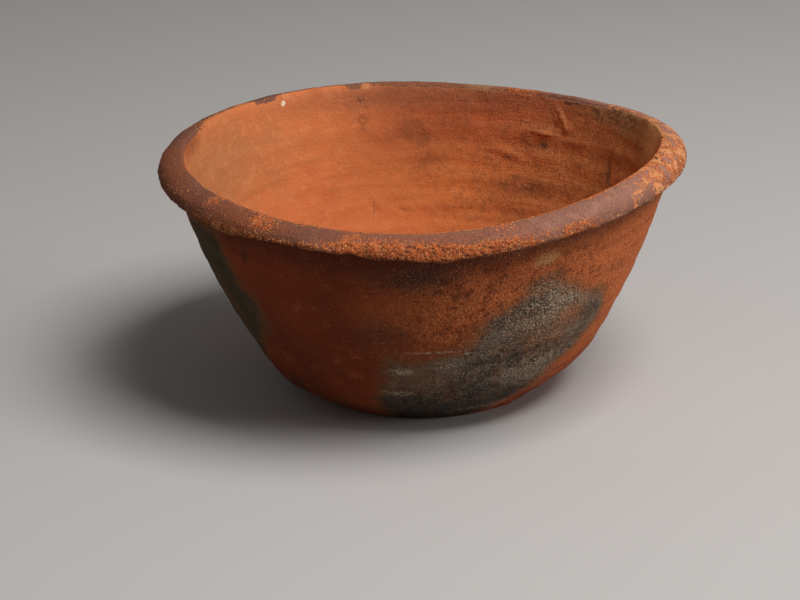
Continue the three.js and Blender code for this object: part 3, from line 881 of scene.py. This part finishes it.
def scatter_tree():
    """Grains strewn over a surface, more of them where its sandy number is higher."""
    tree = bpy.data.node_groups.new("strewn_sand", "GeometryNodeTree")
    tree.interface.new_socket("Geometry", in_out="INPUT", socket_type="NodeSocketGeometry")
    for name in ("Grains per area", "Grain size", "Smallest share", "Sunk share"):
        tree.interface.new_socket(name, in_out="INPUT", socket_type="NodeSocketFloat")
    tree.interface.new_socket("Seed", in_out="INPUT", socket_type="NodeSocketInt")
    tree.interface.new_socket("Sand", in_out="INPUT", socket_type="NodeSocketMaterial")
    tree.interface.new_socket("Geometry", in_out="OUTPUT", socket_type="NodeSocketGeometry")
    given = add(tree, "NodeGroupInput").outputs
    density = add(tree, "GeometryNodeInputNamedAttribute", {"Name": "sandy"}, data_type="FLOAT").outputs[0]
    points = add(tree, "GeometryNodeDistributePointsOnFaces", {
        "Mesh": given["Geometry"], "Density": Field(density) * Field(given["Grains per area"]),
        "Seed": given["Seed"]})
    turn = add(tree, "FunctionNodeRandomValue", {
        1: (2 * math.pi,) * 3, "Seed": given["Seed"]}, data_type="FLOAT_VECTOR")
    share = add(tree, "FunctionNodeRandomValue", {2: given["Smallest share"], 3: 1.0, "Seed": given["Seed"]})
    next_seed = add(tree, "FunctionNodeIntegerMath", {0: given["Seed"], 1: 1}).outputs[0]
    tone = add(tree, "FunctionNodeRandomValue", {"Seed": next_seed})
    grain = add(tree, "GeometryNodeMeshIcoSphere", {"Radius": given["Grain size"], "Subdivisions": 1})
    deep = Field(given["Grain size"]) * Field(given["Sunk share"]) * -1.0
    inwards = add(tree, "ShaderNodeVectorMath", {
        0: points.outputs["Normal"], "Scale": deep}, operation="SCALE").outputs[0]
    sunk = add(tree, "GeometryNodeSetPosition", {"Geometry": points.outputs["Points"], "Offset": inwards})
    strewn = add(tree, "GeometryNodeInstanceOnPoints", {
        "Points": sunk.outputs[0], "Instance": grain.outputs["Mesh"], "Rotation": turn.outputs[0],
        "Scale": share.outputs[1]})
    toned = add(tree, "GeometryNodeStoreNamedAttribute", {
        "Geometry": strewn.outputs[0], "Name": "tone", "Value": tone.outputs[1]},
        data_type="FLOAT", domain="INSTANCE")
    real = add(tree, "GeometryNodeRealizeInstances", {"Geometry": toned.outputs[0]})
    clad = add(tree, "GeometryNodeSetMaterial", {"Geometry": real.outputs[0], "Material": given["Sand"]})
    add(tree, "NodeGroupOutput", {0: clad.outputs[0]})
    return tree


def sand_material():
    paint = Brush("sand_grains")
    tone = paint.attribute("tone")
    chips = paint.noise(0.3, 2.0)
    colour = paint.blend(tone.rise(0.35, 0.5), GRAIN_RED, GRAIN_DARK)
    colour = paint.blend(tone.rise(0.62, 0.8), colour, GRAIN_PALE)
    colour = paint.blend(chips.rise(0.55, 0.75) * 0.4, colour, GRAIN_DARK)
    return paint.finish(colour, chips * 0.1, chips * 0.3 + 0.55)


strewn_sand = scatter_tree()
sand_grains = sand_material()
for name, piece, per_area, seed, slot in STREWN:
    strewn = bpy.data.objects.new(name, piece.data.copy())
    scene.collection.objects.link(strewn)
    shaped_by(strewn, strewn_sand, {
        "Grains per area": per_area / MM ** 2, "Grain size": GRAIN_SIZE * MM,
        "Smallest share": SMALLEST_GRAIN, "Sunk share": GRAIN_SUNK, "Seed": seed, "Sand": sand_grains})
    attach(strewn, "root")

# The stage: a plain pale floor, a large soft lamp high on the right, one low on the right, and a dim sky.
# The floor is pale to the eye and throws less light back up under the bowl.
# The camera stands where the photograph was taken from.
FLOOR_SIDE = 12.0
FLOOR_SEEN = rgb(190, 186, 183)
FLOOR_BOUNCE = rgb(140, 136, 133)
FLOOR_ROUGHNESS = 0.9
FLOOR_SHEEN = 0.1
LAMPS = [  # name, azimuth, elevation, distance and side in metres, watts
    ("softbox", -40, 60, 1.6, 0.8, 24.0),
    ("side_card", -14, 11, 3.0, 1.0, 28.0)]
SKY_COLOUR = rgb(255, 252, 248)
SKY_STRENGTH = 0.14
PICTURE_WIDTH = 800  # pixels
FOCAL_PIXELS = 2300
SENSOR_WIDTH = 36
AIM = Vector((0, 0, 50)) * MM
AIM_RIGHT, AIM_UP = 25.5, 19.7  # pixels from the picture's middle to the aim
VIEW_ELEVATION = math.radians(20)
VIEW_DISTANCE = 1116 * MM
VIEW_ROLL = math.radians(1.52)

floor = bpy.data.objects.new("floor", bpy.data.meshes.new("floor"))
half = FLOOR_SIDE / 2
corners = [(-half, -half, 0), (half, -half, 0), (half, half, 0), (-half, half, 0)]
floor.data.from_pydata(corners, [], [(0, 1, 2, 3)])
floor_paint = Brush("studio_floor")
floor.data.materials.append(floor_paint.material)
ray = add(floor_paint.tree, "ShaderNodeLightPath").outputs
seen = highest(*(Field(ray[kind]) for kind in ("Is Camera Ray", "Is Glossy Ray", "Is Transmission Ray")))
floor_colour = floor_paint.blend(seen, FLOOR_BOUNCE, FLOOR_SEEN)
floor_paint.tree.links.new(floor_colour, floor_paint.shader.inputs["Base Color"])
floor_paint.shader.inputs["Roughness"].default_value = FLOOR_ROUGHNESS
floor_paint.shader.inputs["Specular IOR Level"].default_value = FLOOR_SHEEN
scene.collection.objects.link(floor)

for name, azimuth, elevation, distance, side, watts in LAMPS:
    lamp = bpy.data.objects.new(name, bpy.data.lights.new(name, "AREA"))
    lamp.data.size = side
    lamp.data.energy = watts
    turn, tilt = math.radians(azimuth), math.radians(elevation)
    towards = Vector((math.cos(tilt) * math.cos(turn), math.cos(tilt) * math.sin(turn), math.sin(tilt)))
    lamp.location = AIM + distance * towards
    lamp.rotation_euler = towards.to_track_quat("Z", "Y").to_euler()
    scene.collection.objects.link(lamp)
world = bpy.data.worlds.new("studio_sky")
world.use_nodes = True
world.node_tree.nodes["Background"].inputs["Color"].default_value = SKY_COLOUR
world.node_tree.nodes["Background"].inputs["Strength"].default_value = SKY_STRENGTH
scene.world = world

camera = bpy.data.objects.new("camera", bpy.data.cameras.new("camera"))
camera.data.sensor_width = SENSOR_WIDTH
camera.data.lens = FOCAL_PIXELS / PICTURE_WIDTH * SENSOR_WIDTH
back = Vector((0, -math.cos(VIEW_ELEVATION), math.sin(VIEW_ELEVATION)))
camera.matrix_world = (
    Matrix.Translation(AIM + VIEW_DISTANCE * back)
    @ Matrix.Rotation(math.pi / 2 - VIEW_ELEVATION, 4, "X")
    @ Matrix.Rotation(math.atan(AIM_RIGHT / FOCAL_PIXELS), 4, "Y")
    @ Matrix.Rotation(-math.atan(AIM_UP / FOCAL_PIXELS), 4, "X")
    @ Matrix.Rotation(-VIEW_ROLL, 4, "Z"))
scene.collection.objects.link(camera)
scene.camera = camera
